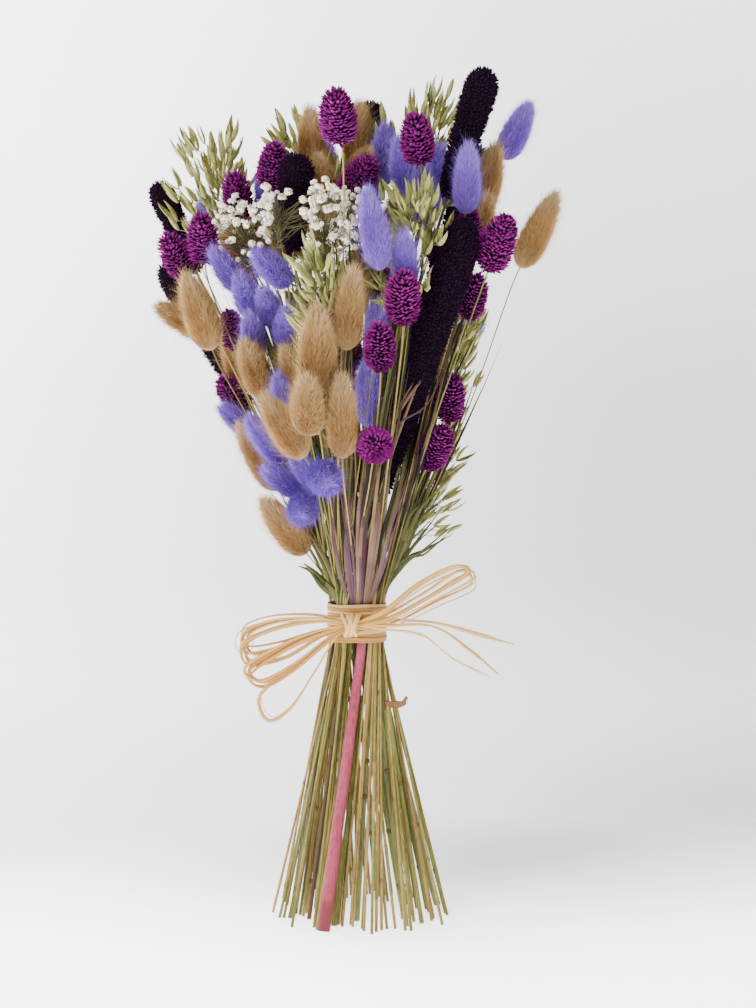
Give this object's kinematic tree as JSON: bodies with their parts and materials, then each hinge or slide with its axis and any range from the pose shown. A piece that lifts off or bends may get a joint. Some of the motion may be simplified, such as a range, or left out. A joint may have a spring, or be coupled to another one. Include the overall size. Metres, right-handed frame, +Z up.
{
  "type": "dried flower bouquet",
  "caption": "Hand-tied bunch of dried and dyed grasses and flower heads, held by a raffia bow, that stands on its splayed stems.",
  "frame": {"origin": "on the surface that the bunch stands on, under the middle of its bounding box", "axes": "+Z up along the bunch, -Y towards the side with the bow, +X to the right as seen from the bow's side"},
  "size_m": [0.2166, 0.191, 0.4417],
  "materials": {
    "tan_bunny_tails": "natural tan, furry and matt",
    "violet_bunny_tails": "dyed violet-blue, furry and matt",
    "canary_grass": "dyed purple-magenta, scaly and matt",
    "millet_spike": "dyed near-black purple, like velvet",
    "oats": "pale green-cream, dry husks with a slight sheen",
    "babys_breath": "cream-white, dry and matt",
    "mauve_leaf": "dry mauve-grey leaf, matt with fine ribs",
    "green_leaf": "dry olive leaf, matt with fine ribs",
    "raffia_wrap": "natural raffia, golden cream with a dry sheen",
    "raffia_bow": "natural raffia, pale golden cream with a dry sheen"
  },
  "bodies": {
    "root": {"tan_bunny_tails_1": "tan_bunny_tails", "tan_bunny_tails_2": "tan_bunny_tails", "tan_bunny_tails_3": "tan_bunny_tails", "tan_bunny_tails_4": "tan_bunny_tails", "tan_bunny_tails_5": "tan_bunny_tails", "tan_bunny_tails_6": "tan_bunny_tails", "tan_bunny_tails_7": "tan_bunny_tails", "tan_bunny_tails_8": "tan_bunny_tails", "tan_bunny_tails_9": "tan_bunny_tails", "violet_bunny_tails_1": "violet_bunny_tails", "violet_bunny_tails_2": "violet_bunny_tails", "violet_bunny_tails_3": "violet_bunny_tails", "violet_bunny_tails_4": "violet_bunny_tails", "violet_bunny_tails_5": "violet_bunny_tails", "violet_bunny_tails_6": "violet_bunny_tails", "violet_bunny_tails_7": "violet_bunny_tails", "violet_bunny_tails_8": "violet_bunny_tails", "violet_bunny_tails_9": "violet_bunny_tails", "violet_bunny_tails_10": "violet_bunny_tails", "violet_bunny_tails_11": "violet_bunny_tails", "canary_grass_1": "canary_grass", "canary_grass_2": "canary_grass", "canary_grass_3": "canary_grass", "canary_grass_4": "canary_grass", "canary_grass_5": "canary_grass", "canary_grass_6": "canary_grass", "canary_grass_7": "canary_grass", "canary_grass_8": "canary_grass", "canary_grass_9": "canary_grass", "millet_spike_1": "millet_spike", "millet_spike_2": "millet_spike", "millet_spike_3": "millet_spike", "millet_spike_4": "millet_spike", "millet_spike_5": "millet_spike", "millet_spike_6": "millet_spike", "millet_spike_7": "millet_spike", "oats_1": "oats", "oats_2": "oats", "oats_3": "oats", "oats_4": "oats", "oats_5": "oats", "oats_6": "oats", "babys_breath_1": "babys_breath", "babys_breath_2": "babys_breath", "babys_breath_3": "babys_breath", "babys_breath_4": "babys_breath", "mauve_leaves": "mauve_leaf", "green_leaves": "green_leaf", "small_leaves": "green_leaf", "raffia_wrap": "raffia_wrap", "raffia_bow": "raffia_bow"}
  },
  "joints": []
}
